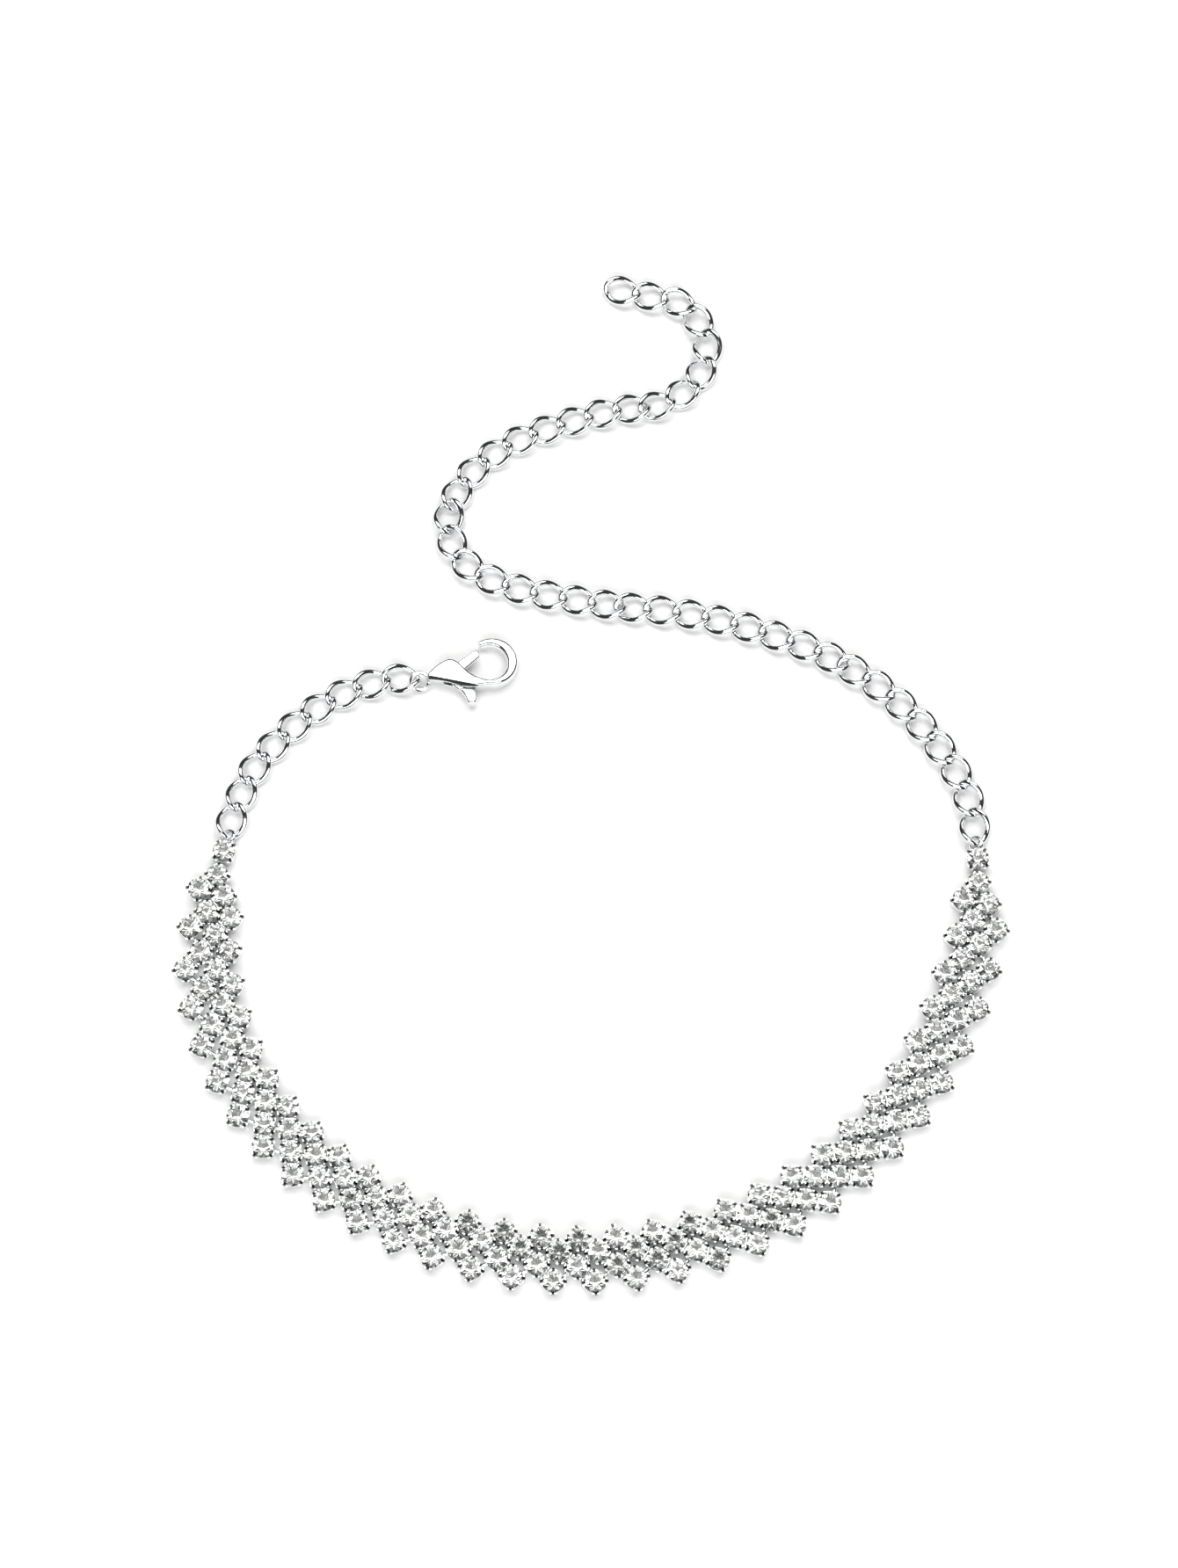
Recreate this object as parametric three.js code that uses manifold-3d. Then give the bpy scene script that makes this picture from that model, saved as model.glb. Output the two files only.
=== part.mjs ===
// A crystal-paved bracelet with a lobster clasp and a long extension chain, lying open on a table.
// Millimetres, +Z up. The origin is on the table under the middle of the layout.
import * as THREE from "three";
import { mergeVertices } from "three/addons/utils/BufferGeometryUtils.js";
import Module from "manifold-3d";

const wasm = await Module();
wasm.setup();

// ---- Driving dimensions ------------------------------------------------------------------------

// One square cup: its walls stand on the table and hold a round stone.
const CUP = { width: 2.28, corner: 0.42, wall: 1.5, pitch: 2.6, neck: 0.32 };
const STONE = { girdle: 1.13, table: 0.64, top: 2.15, sides: 8, seat: 0.1 };

// The crystal bars lean across the band. Neighbours keep one distance, square to the bars,
// while the spacing along the band grows a little from the clasp's end: growth is its share
// at the last bar, and as much is missing at the first.
const BAR = { cups: 4, count: 29, apart: 2.72, fromEnd: 11, growth: 0.037 };

// The bars that narrow the band at each end: cups in the bar, its distance in from the end
// cup along the band, and how far its middle sits off the band's centre line.
const TAPER = [
  { cups: 2, inset: 3.9, offset: 0.8 },
  { cups: 3, inset: 7.3, offset: 0.35 },
];

// A connector is a short wire low on a cup's side. It reaches out to the next bar, further
// towards the band's outer edge, where the bars fan out.
const CONNECTOR = { width: 0.6, height: 0.4, lift: 0.35, buried: 0.25, shift: 0.12 };
const CONNECTORS = [
  { cup: 2, reach: 0.18 },
  { cup: 3, reach: 0.38 },
];

// Curb links: oval wire rings twisted about the chain's own line.
const LINK = {
  length: 4.78,
  width: 3.72,
  wire: 0.76,
  twist: THREE.MathUtils.degToRad(-38),
  pitch: 3.385,
  slackPitch: 3.02,
  segments: 12,
  sides: 4,
};
const CLASP_CHAIN = { links: 9 };
const EXTENSION = { links: 40, run: 8 };

// The wire loop on each end cup, which the chain's first link hangs in.
const LOOP = { radius: 0.8, wire: 0.46, centre: 1.84, tilt: THREE.MathUtils.degToRad(-31) };
const CUP_TO_FIRST_LINK = 3.86;

// Lobster clasp, in its own frame: x runs from the eye to the hook, y to the gate's side.
const CASING = { thickness: 2.2, bevel: 0.28 };
const HOOK = { x: 8.5, y: 0.6, radius: 2.96, thickness: 1.5, bevel: 0.2 };
const HOOK_MOUTH = { x: 8.11, y: 0.55, radius: 2.08 };
const HOOK_TIP = THREE.MathUtils.degToRad(116);
const HOOK_ROOT = THREE.MathUtils.degToRad(-140);
const EYE = {
  radius: 1.02,
  wire: 0.48,
  fromLink: 2.2,
  drop: 0.3,
  tilt: THREE.MathUtils.degToRad(21),
};
const SLOT = { left: 2.65, right: 6.0, height: 1.1 };
const LEVER = { thickness: 0.8, hub: 0.85 };
const PIVOT = { x: 4.0, y: 0.2 };
const RIVET = { radius: 0.36, clearance: 0.06, sides: 16, inset: 0.12 };
const CLASP_TURN = THREE.MathUtils.degToRad(10);

// Where everything lies on the table, as seen from above. LAYOUT_MIDDLE is taken off every
// point, so that the origin is under the middle of the whole layout.
const LAYOUT_MIDDLE = [0.264, 1.692];

// The band's centre line from the clasp's end cup to the other one, in arcs that turn left.
const BAND = {
  start: [-41.2, -8.44],
  heading: THREE.MathUtils.degToRad(-104.5),
  arcs: [
    { length: 2, radius: Infinity },
    { length: 33.7, radius: 33 },
    { length: 107.8, radius: 45 },
  ],
};

// The chains' routes on from their end cups.
const CLASP_CHAIN_ROUTE = [
  [-40.2, -3.7], [-37.8, 1.9], [-33.2, 7.0], [-28.1, 10.5], [-22.6, 12.3], [-18.6, 12.0],
];
const EXTENSION_ROUTE = [
  [43.1, -2.3], [39.8, 4.2], [34.2, 10.5], [27.1, 15.2], [19.2, 18.3], [11.0, 20.3], [1.2, 21.5],
  [-8.7, 23.5], [-14.3, 26.5], [-16.3, 31.6], [-13.9, 37.3], [-8.1, 41.8], [1.7, 45.2],
  [8.3, 46.3], [12.5, 49.3], [13.8, 54.1], [11.3, 58.7], [6.6, 60.1], [2.6, 61.0],
];

// ---- Materials ----------------------------------------------------------------------------------

const silver = new THREE.MeshStandardMaterial({ color: 0xdcdde0, roughness: 0.18, metalness: 1 });
const paved = new THREE.MeshStandardMaterial({ color: 0xe9edf2, roughness: 0.08, metalness: 0.6 });
const steel = new THREE.MeshStandardMaterial({ color: 0xc9cacd, roughness: 0.3, metalness: 1 });

// ---- Solids ---------------------------------------------------------------------------------------

function solidOf(geometry) {
  const bare = geometry.clone();
  bare.deleteAttribute("normal");
  bare.deleteAttribute("uv");
  const merged = mergeVertices(bare, 1e-4);
  return new wasm.Manifold(
    new wasm.Mesh({
      numProp: 3,
      vertProperties: Float32Array.from(merged.attributes.position.array),
      triVerts: Uint32Array.from(merged.index.array),
    }),
  );
}

function geometryOf(solid) {
  const mesh = solid.getMesh();
  const geometry = new THREE.BufferGeometry();
  geometry.setAttribute("position", new THREE.BufferAttribute(mesh.vertProperties, 3));
  geometry.setIndex(new THREE.BufferAttribute(mesh.triVerts, 1));
  geometry.computeVertexNormals();
  return geometry;
}

function joined(geometries) {
  return geometries.map(solidOf).reduce((sum, part) => sum.add(part));
}

function moved(geometry, x, y, z, turn = 0) {
  const place = new THREE.Matrix4().makeRotationZ(turn).setPosition(x, y, z);
  return geometry.clone().applyMatrix4(place);
}

// A flat outline made a plate, centred on z, with one bevelled edge all round.
function plate(shape, thickness, bevel, curveSegments = 8) {
  const geometry = new THREE.ExtrudeGeometry(shape, {
    depth: thickness - 2 * bevel,
    bevelEnabled: bevel > 0,
    bevelThickness: bevel,
    bevelSize: bevel,
    bevelOffset: -bevel,
    bevelSegments: 1,
    curveSegments,
  });
  return geometry.translate(0, 0, bevel - thickness / 2);
}

// ---- Routes on the table ---------------------------------------------------------------------------

// A point of the layout's plan, measured from the origin.
function placed([x, y]) {
  return new THREE.Vector3(x - LAYOUT_MIDDLE[0], y - LAYOUT_MIDDLE[1], 0);
}

// A smooth route that starts at an end cup.
function routeFrom(start, points) {
  const cup = new THREE.Vector3(start.x, start.y, 0);
  return new THREE.CatmullRomCurve3([cup, ...points.map(placed)], false, "catmullrom", 0.5);
}

// The point at a distance along a route, and the way the route runs there.
function stationAt(route, distance) {
  const share = distance / route.getLength();
  const point = route.getPointAt(share);
  const way = route.getTangentAt(share);
  return { x: point.x, y: point.y, heading: Math.atan2(way.y, way.x) };
}

function bandLength() {
  return BAND.arcs.reduce((sum, arc) => sum + arc.length, 0);
}

// The point at a distance along the band: each arc is crossed by its chord.
function bandStation(distance) {
  const at = placed(BAND.start);
  let heading = BAND.heading;
  let left = distance;
  for (const arc of BAND.arcs) {
    const run = Math.min(left, arc.length);
    const half = run / arc.radius / 2;
    const chord = half > 0 ? 2 * arc.radius * Math.sin(half) : run;
    at.x += chord * Math.cos(heading + half);
    at.y += chord * Math.sin(heading + half);
    heading += 2 * half;
    left -= run;
  }
  return { x: at.x, y: at.y, heading };
}

// A place beside the route: offset is to the left of the way it runs.
function beside(station, offset) {
  return {
    x: station.x - offset * Math.sin(station.heading),
    y: station.y + offset * Math.cos(station.heading),
  };
}

// ---- Crystal band ------------------------------------------------------------------------------------

// The walls of a row of cups seen from above: square cups with cut corners, joined by necks.
function cupRowOutline(centres) {
  const half = CUP.width / 2;
  const cut = half - CUP.corner;
  const outer = centres.at(-1) + half;
  const side = [];
  centres.forEach((x, i) => {
    side.push([x - cut, -half], [x + cut, -half]);
    if (i < centres.length - 1) side.push([x + CUP.pitch / 2, -half + CUP.neck]);
  });
  side.push([outer, -cut], [outer, cut]);
  const round = [...side, ...side.slice(0, -2).map(([x, y]) => [-x, -y])];
  round.push([-outer, cut], [-outer, -cut]);
  return new THREE.Shape(round.map(([x, y]) => new THREE.Vector2(x, y)));
}

function stoneGeometry() {
  const bottom = CUP.wall - STONE.seat;
  const geometry = new THREE.CylinderGeometry(
    STONE.table,
    STONE.girdle,
    STONE.top - bottom,
    STONE.sides,
  );
  geometry.rotateX(Math.PI / 2).rotateZ(Math.PI / STONE.sides);
  return geometry.translate(0, 0, (STONE.top + bottom) / 2);
}

// A connector stands on the side of the cup that faces the next bar.
function connectorGeometry(x, reach) {
  const length = reach + CONNECTOR.buried;
  return new THREE.BoxGeometry(CONNECTOR.width, length, CONNECTOR.height).translate(
    x + CONNECTOR.shift,
    CUP.width / 2 - CONNECTOR.buried + length / 2,
    CONNECTOR.lift + CONNECTOR.height / 2,
  );
}

// A bar of cups along x, from the band's inner edge out, with its stones and connectors.
function crystalBar(cups, connectors = []) {
  const centres = Array.from({ length: cups }, (_, i) => (i - (cups - 1) / 2) * CUP.pitch);
  const walls = plate(cupRowOutline(centres), CUP.wall, 0).translate(0, 0, CUP.wall / 2);
  const stones = centres.map((x) => stoneGeometry().translate(x, 0, 0));
  const wires = connectors.map(({ cup, reach }) => connectorGeometry(centres[cup], reach));
  return geometryOf(joined([walls, ...stones, ...wires]));
}

// A full bar's place along the band, and how far it leans back from the band's own line.
function fullBar(i, length) {
  const last = BAR.count - 1;
  const share = i / last;
  const spacing = (length - 2 * BAR.fromEnd) / last;
  return {
    at: BAR.fromEnd + spacing * last * (share + BAR.growth * (share * share - share)),
    lean: -Math.asin(BAR.apart / (spacing * (1 + BAR.growth * (2 * share - 1)))),
  };
}

// Every bar of the band in order: cups, distance along the band, offset to the left, and lean.
function barStations(length) {
  const full = Array.from({ length: BAR.count }, (_, i) => fullBar(i, length));
  const first = full[0].lean;
  const last = full[BAR.count - 1].lean;
  const narrow = [...TAPER].reverse();
  return [
    ...TAPER.map(({ cups, inset, offset }) => ({ cups, at: inset, offset: -offset, lean: first })),
    ...full.map(({ at, lean }) => ({ cups: BAR.cups, at, offset: 0, lean })),
    ...narrow.map(({ cups, inset, offset }) => ({ cups, at: length - inset, offset, lean: last })),
  ];
}

function crystalBand() {
  const band = new THREE.Group();
  const shapes = new Map([
    [2, crystalBar(2)],
    [3, crystalBar(3)],
    [4, crystalBar(4, CONNECTORS)],
  ]);
  barStations(bandLength()).forEach((bar, i) => {
    const station = bandStation(bar.at);
    const centre = beside(station, bar.offset);
    const mesh = new THREE.Mesh(shapes.get(bar.cups), paved);
    mesh.name = `crystal_bar_${String(i + 1).padStart(2, "0")}`;
    mesh.position.set(centre.x, centre.y, 0);
    mesh.rotation.z = station.heading + bar.lean;
    band.add(mesh);
  });
  return band;
}

// ---- End cups --------------------------------------------------------------------------------------------

function chainHeight() {
  const box = new THREE.Box3().setFromBufferAttribute(curbLink().getAttribute("position"));
  return -box.min.z;
}

// One cup with its stone, and a tilted wire loop on its +x side for the chain.
function endCup() {
  const cup = crystalBar(1);
  const loop = new THREE.TorusGeometry(LOOP.radius, LOOP.wire / 2, 6, 14);
  loop.rotateX(LOOP.tilt);
  loop.translate(LOOP.centre, 0, chainHeight());
  return geometryOf(joined([cup, loop]));
}

function endCups() {
  const cups = new THREE.Group();
  const shape = endCup();
  const rows = [
    { name: "end_cup_clasp_side", route: claspRoute },
    { name: "end_cup_extension_side", route: extensionRoute },
  ];
  for (const row of rows) {
    const station = stationAt(row.route, 0);
    const mesh = new THREE.Mesh(shape, paved);
    mesh.name = row.name;
    mesh.position.set(station.x, station.y, 0);
    mesh.rotation.z = station.heading;
    cups.add(mesh);
  }
  return cups;
}

// ---- Curb chains -------------------------------------------------------------------------------------------

// An oval ring of wire, then turned about its long axis in step with x, as a curb link is.
function curbLink() {
  const ring = new THREE.TorusGeometry(1, LINK.wire / 2, LINK.sides, LINK.segments);
  const along = (LINK.length - LINK.wire) / 2;
  const across = (LINK.width - LINK.wire) / 2;
  const points = ring.getAttribute("position");
  for (let i = 0; i < points.count; i++) {
    const round = Math.atan2(points.getY(i), points.getX(i));
    const out = Math.hypot(points.getX(i), points.getY(i)) - 1;
    const normal = new THREE.Vector2(across * Math.cos(round), along * Math.sin(round)).normalize();
    const x = along * Math.cos(round) + normal.x * out;
    const y = across * Math.sin(round) + normal.y * out;
    const z = points.getZ(i);
    const turn = (LINK.twist * x) / along;
    points.setXYZ(
      i,
      x,
      y * Math.cos(turn) - z * Math.sin(turn),
      y * Math.sin(turn) + z * Math.cos(turn),
    );
  }
  return ring;
}

// Links from first to last along a route. Each run of links is taut, and hangs a little slack
// from the run before it.
function linkStations(route, count, run) {
  const stations = [];
  let distance = CUP_TO_FIRST_LINK;
  for (let i = 0; i < count; i++) {
    if (i > 0) distance += i % run === 0 ? LINK.slackPitch : LINK.pitch;
    stations.push(stationAt(route, distance));
  }
  return stations;
}

function chainMesh(name, stations) {
  const link = curbLink();
  const height = chainHeight();
  const solid = joined(stations.map((at) => moved(link, at.x, at.y, height, at.heading)));
  const mesh = new THREE.Mesh(geometryOf(solid), silver);
  mesh.name = name;
  return mesh;
}

function chains() {
  const group = new THREE.Group();
  const links = CLASP_CHAIN.links;
  group.add(chainMesh("clasp_chain", linkStations(claspRoute, links, links)));
  const extension = linkStations(extensionRoute, EXTENSION.links, EXTENSION.run);
  for (let first = 0; first < EXTENSION.links; first += EXTENSION.run) {
    const number = first / EXTENSION.run + 1;
    const part = extension.slice(first, first + EXTENSION.run);
    group.add(chainMesh(`extension_chain_${number}`, part));
  }
  return group;
}

// ---- Lobster clasp ----------------------------------------------------------------------------------------------

// The casing swells from the eye to a hump over the lever's pivot, and narrows to the hook.
function casingShape() {
  const shape = new THREE.Shape();
  shape.moveTo(0.95, -0.3);
  shape.quadraticCurveTo(2.8, -0.75, 4.4, -1.65);
  shape.quadraticCurveTo(5.6, -2.2, 7.6, -2.2);
  shape.lineTo(7.6, -1.6);
  shape.quadraticCurveTo(6.0, -0.9, 5.1, 0.55);
  shape.quadraticCurveTo(4.5, 1.7, 3.6, 1.75);
  shape.quadraticCurveTo(2.2, 1.5, 0.95, 0.35);
  return shape;
}

// The hook is thickest opposite its mouth's own centre, and its tip is cut off square.
function hookShape() {
  const shape = new THREE.Shape();
  shape.absarc(HOOK.x, HOOK.y, HOOK.radius, HOOK_ROOT, HOOK_TIP, false);
  shape.absarc(HOOK_MOUTH.x, HOOK_MOUTH.y, HOOK_MOUTH.radius, HOOK_TIP, HOOK_ROOT, true);
  return shape;
}

function eyeGeometry() {
  const ring = new THREE.TorusGeometry(EYE.radius, EYE.wire / 2, 6, 16);
  return ring.rotateX(EYE.tilt).translate(0, 0, -EYE.drop);
}

function slotGeometry() {
  const width = SLOT.right - SLOT.left;
  return new THREE.BoxGeometry(width, 8, SLOT.height).translate(SLOT.left + width / 2, 0, 0);
}

function rivetGeometry(radius, length) {
  const geometry = new THREE.CylinderGeometry(radius, radius, length, RIVET.sides);
  return geometry.rotateX(Math.PI / 2).translate(PIVOT.x, PIVOT.y, 0);
}

function clasp(eye, height) {
  const body = joined([
    plate(casingShape(), CASING.thickness, CASING.bevel, 5),
    plate(hookShape(), HOOK.thickness, HOOK.bevel, 9),
    eyeGeometry(),
  ])
    .subtract(solidOf(slotGeometry()))
    .subtract(solidOf(rivetGeometry(RIVET.radius + RIVET.clearance, 2 * CASING.thickness)));
  const lever = joined([
    plate(leverShape(), LEVER.thickness, 0, 5),
    plate(hubShape(), LEVER.thickness, 0, 5),
  ]).subtract(solidOf(rivetGeometry(RIVET.radius + RIVET.clearance, 2 * CASING.thickness)));
  const pieces = [
    { name: "clasp_body", geometry: geometryOf(body), material: silver },
    { name: "clasp_lever", geometry: geometryOf(lever), material: silver },
    {
      name: "clasp_rivet",
      geometry: rivetGeometry(RIVET.radius, CASING.thickness - 2 * RIVET.inset),
      material: steel,
    },
  ];
  const group = new THREE.Group();
  for (const piece of pieces) {
    const mesh = new THREE.Mesh(piece.geometry, piece.material);
    mesh.name = piece.name;
    group.add(mesh);
  }
  group.position.set(eye.x, eye.y, height);
  group.rotation.z = CLASP_TURN;
  return group;
}

function hubShape() {
  return new THREE.Shape().absarc(PIVOT.x, PIVOT.y, LEVER.hub, 0, 2 * Math.PI, false);
}

// The thumb arm sweeps out under the casing, and the gate arm runs up to the hook's tip.
function leverShape() {
  const shape = new THREE.Shape();
  shape.moveTo(3.4, -0.4);
  shape.quadraticCurveTo(3.5, -1.4, 4.2, -2.0);
  shape.quadraticCurveTo(4.8, -2.6, 4.85, -3.4);
  shape.quadraticCurveTo(4.9, -4.0, 5.45, -4.0);
  shape.quadraticCurveTo(6.05, -4.0, 6.1, -3.2);
  shape.quadraticCurveTo(6.15, -2.3, 5.5, -1.6);
  shape.quadraticCurveTo(4.9, -0.9, 4.9, 0.1);
  shape.lineTo(7.15, 1.5);
  shape.quadraticCurveTo(7.35, 2.0, 7.05, 2.35);
  shape.lineTo(6.7, 2.4);
  shape.lineTo(3.9, 1.0);
  return shape;
}

// ---- The whole bracelet -----------------------------------------------------------------------------------------------

const claspRoute = routeFrom(bandStation(0), CLASP_CHAIN_ROUTE);
const extensionRoute = routeFrom(bandStation(bandLength()), EXTENSION_ROUTE);
const lastLink = CUP_TO_FIRST_LINK + (CLASP_CHAIN.links - 1) * LINK.pitch;
const eye = stationAt(claspRoute, lastLink + EYE.fromLink);

const bracelet = new THREE.Group();
bracelet.add(crystalBand(), endCups(), chains(), clasp(eye, CASING.thickness / 2));

export default bracelet;
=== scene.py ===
"""An open crystal bracelet on a white studio table.

A curved band of slanting cup bars is paved with foil-backed crystals. A lobster clasp hangs on a
short curb chain at one end, and a long extension chain runs on from the other. Sizes in the
classes are millimetres, apart from the studio's lights and paper, which are metres. Every finished
piece is in metres, in the part's own frame.
"""

import logging
import math
import random
from dataclasses import dataclass, field
from enum import Enum

import bmesh
import bpy
from mathutils import Matrix, Vector


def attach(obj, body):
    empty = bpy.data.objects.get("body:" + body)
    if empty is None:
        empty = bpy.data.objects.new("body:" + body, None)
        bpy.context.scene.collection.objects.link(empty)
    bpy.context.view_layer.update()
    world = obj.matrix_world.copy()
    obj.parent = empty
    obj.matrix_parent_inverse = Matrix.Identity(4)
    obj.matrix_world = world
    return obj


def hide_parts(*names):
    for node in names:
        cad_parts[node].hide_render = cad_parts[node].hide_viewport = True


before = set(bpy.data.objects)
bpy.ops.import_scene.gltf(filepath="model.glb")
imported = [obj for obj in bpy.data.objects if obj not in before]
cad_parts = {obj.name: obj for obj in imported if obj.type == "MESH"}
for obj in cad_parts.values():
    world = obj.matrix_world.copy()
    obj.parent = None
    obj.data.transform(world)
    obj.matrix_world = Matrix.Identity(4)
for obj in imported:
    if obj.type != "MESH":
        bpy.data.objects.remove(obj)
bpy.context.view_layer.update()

MM = 0.001
LOG = logging.getLogger("bracelet")

Point = tuple[float, float]

# Depth of the finest marks on the finishes, in metres, and how far apart two points may lie, in
# millimetres, and still be one.
MARK_DEPTH = 0.02 * MM
WELD = 1e-4
# Edges of round wire and pins turn by less than this, and are shaded smooth.
ROUND_EDGE = math.radians(50)
# Sockets of the Mix node when it mixes colours.
MIX_FIRST, MIX_SECOND, MIX_RESULT = 6, 7, 2


class Body(Enum):
    """The rigid bodies of the part."""

    BRACELET = "bracelet"
    LEVER = "lever"


class Slot(Enum):
    """The record's material slots."""

    SILVER = "silver_plate"
    CRYSTAL = "crystal"
    RIVET = "rivet_steel"


# ---- Finishes ------------------------------------------------------------------------------------


def linear(hex_colour: str) -> tuple[float, float, float, float]:
    """Turn an sRGB hex colour to linear light.

    Args:
        hex_colour: Six hex digits, such as "E8E9EC".

    Returns:
        Linear red, green, blue, and an alpha of 1.
    """
    shares = [int(hex_colour[i : i + 2], 16) / 255 for i in (0, 2, 4)]
    lit = [s / 12.92 if s <= 0.04045 else ((s + 0.055) / 1.055) ** 2.4 for s in shares]
    return (lit[0], lit[1], lit[2], 1.0)


def per_mm(size: float) -> float:
    """Give the texture scale, on coordinates in metres, of a feature so many millimetres wide."""
    return 1 / (size * MM)


def add_node(
    tree: bpy.types.NodeTree,
    kind: str,
    settings: dict[str, object] | None = None,
    inputs: dict[str, object] | None = None,
) -> bpy.types.Node:
    """Add one node to a tree.

    Args:
        tree: The node tree.
        kind: The node's Blender type.
        settings: Its properties by name.
        inputs: By socket name, a value for the socket or another node's output to link to it.

    Returns:
        The new node.
    """
    node = tree.nodes.new(kind)
    for name, value in (settings or {}).items():
        setattr(node, name, value)
    for name, value in (inputs or {}).items():
        if isinstance(value, bpy.types.NodeSocket):
            tree.links.new(value, node.inputs[name])
        else:
            node.inputs[name].default_value = value
    return node


@dataclass(frozen=True)
class Finish:
    """A finish whose material is made once and shared by its pieces."""

    name: str

    def material(self) -> bpy.types.Material:
        """Give the finish's material, and make it the first time.

        Returns:
            The material, named for the finish.
        """
        known = bpy.data.materials.get(self.name)
        if known:
            return known
        made = bpy.data.materials.new(self.name)
        made.use_nodes = True
        tree = made.node_tree
        tree.nodes.clear()
        shader = add_node(tree, "ShaderNodeBsdfPrincipled", inputs=self.look(tree))
        add_node(tree, "ShaderNodeOutputMaterial", inputs={"Surface": shader.outputs["BSDF"]})
        return made

    def look(self, tree: bpy.types.NodeTree) -> dict[str, object]:
        """Build the finish's patterns.

        Args:
            tree: The material's empty node tree.

        Returns:
            By name, the inputs of its shader.
        """
        raise NotImplementedError

    @staticmethod
    def marks(
        tree: bpy.types.NodeTree,
        where: bpy.types.NodeSocket,
        width: float,
        detail: float,
        strength: float,
    ) -> bpy.types.NodeSocket:
        """Raise fine marks on the surface.

        Args:
            tree: The material's node tree.
            where: The coordinates that the marks lie on.
            width: Width of a mark.
            detail: How ragged a mark is.
            strength: How strongly the marks stand out.

        Returns:
            The surface's normal, tipped by the marks.
        """
        height = add_node(
            tree,
            "ShaderNodeTexNoise",
            inputs={"Vector": where, "Scale": per_mm(width), "Detail": detail},
        )
        bump = add_node(
            tree,
            "ShaderNodeBump",
            inputs={"Strength": strength, "Distance": MARK_DEPTH, "Height": height.outputs["Fac"]},
        )
        return bump.outputs["Normal"]


@dataclass(frozen=True)
class PolishedMetal(Finish):
    """Metal that has been tumbled or buffed bright: mirror-like, with a faint haze in patches.

    Its roughness drifts over patches the size of a buffing mark, and hair-fine lines across it
    keep the reflections from being perfect.

    Attributes:
        bright: Its colour where it is clean.
        dull: Its colour where it is hazy.
        patch: Width of the patches of haze.
        hairline: Width of the fine lines, which are squeezed along one way, the lay.
        roughness: Its roughness where it is clean, and where it is hazy.
        scratch: How strongly the fine lines stand out.
        haze: The shares of the noise that the roughness runs between.
        lay: How much the lines are squeezed along each axis.
        lay_turn: The lay's angle.
    """

    bright: str = "F1F2F1"
    dull: str = "E3E4E3"
    patch: float = 0.8
    hairline: float = 0.12
    roughness: tuple[float, float] = (0.04, 0.1)
    scratch: float = 0.015
    haze: tuple[float, float] = (0.3, 0.7)
    lay: tuple[float, float, float] = (1.0, 6.0, 2.5)
    lay_turn: float = 0.6

    def look(self, tree: bpy.types.NodeTree) -> dict[str, object]:
        """Build the metal's haze and hairlines.

        Args:
            tree: The material's empty node tree.

        Returns:
            By name, the inputs of its shader.
        """
        where = add_node(tree, "ShaderNodeTexCoord").outputs["Object"]
        patches = add_node(
            tree,
            "ShaderNodeTexNoise",
            inputs={"Vector": where, "Scale": per_mm(self.patch), "Detail": 3.0},
        ).outputs["Fac"]
        tone = add_node(tree, "ShaderNodeMix", {"data_type": "RGBA"}, {"Factor": patches})
        tone.inputs[MIX_FIRST].default_value = linear(self.bright)
        tone.inputs[MIX_SECOND].default_value = linear(self.dull)
        rough = add_node(
            tree,
            "ShaderNodeMapRange",
            inputs={
                "Value": patches,
                "From Min": self.haze[0],
                "From Max": self.haze[1],
                "To Min": self.roughness[0],
                "To Max": self.roughness[1],
            },
        )
        lay = add_node(
            tree,
            "ShaderNodeMapping",
            inputs={"Vector": where, "Scale": self.lay, "Rotation": (0.0, 0.0, self.lay_turn)},
        ).outputs["Vector"]
        return {
            "Base Color": tone.outputs[MIX_RESULT],
            "Metallic": 1.0,
            "Roughness": rough.outputs["Result"],
            "Normal": self.marks(tree, lay, self.hairline, 2.0, self.scratch),
        }


@dataclass(frozen=True)
class CutCrystal(Finish):
    """Lead crystal, cut and polished: clear, sharp facets that split light into black and white.

    The wheel leaves a very slight unevenness on each facet, which softens the reflections a bit.

    Attributes:
        tint: Its colour.
        ior: Its index of refraction, that of lead crystal.
        wheel_mark: Width of the wheel's marks.
        wheel_depth: How strongly they stand out.
    """

    tint: str = "FDFDFE"
    ior: float = 1.56
    wheel_mark: float = 0.5
    wheel_depth: float = 0.05

    def look(self, tree: bpy.types.NodeTree) -> dict[str, object]:
        """Build the crystal's wheel marks.

        Args:
            tree: The material's empty node tree.

        Returns:
            By name, the inputs of its shader.
        """
        where = add_node(tree, "ShaderNodeTexCoord").outputs["Object"]
        return {
            "Base Color": linear(self.tint),
            "Roughness": 0.0,
            "IOR": self.ior,
            "Transmission Weight": 1.0,
            "Normal": self.marks(tree, where, self.wheel_mark, 1.0, self.wheel_depth),
        }


@dataclass(frozen=True)
class StudioPaper(Finish):
    """Matt white background paper: no gloss, and a tooth drawn coarse enough to show close up.

    Attributes:
        colour: Its colour.
        tooth: Width of the tooth.
        tooth_depth: How strongly it stands out.
    """

    colour: str = "FCFCFB"
    tooth: float = 0.6
    tooth_depth: float = 0.05

    def look(self, tree: bpy.types.NodeTree) -> dict[str, object]:
        """Build the paper's tooth.

        Args:
            tree: The material's empty node tree.

        Returns:
            By name, the inputs of its shader.
        """
        where = add_node(tree, "ShaderNodeTexCoord").outputs["Object"]
        return {
            "Base Color": linear(self.colour),
            "Roughness": 0.9,
            "Specular IOR Level": 0.1,
            "Normal": self.marks(tree, where, self.tooth, 2.0, self.tooth_depth),
        }


# Silver plate on tumbled brass: nearly a mirror, so it shows the lights white and the gaps dark.
SILVER = PolishedMetal("silver_plate")
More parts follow.
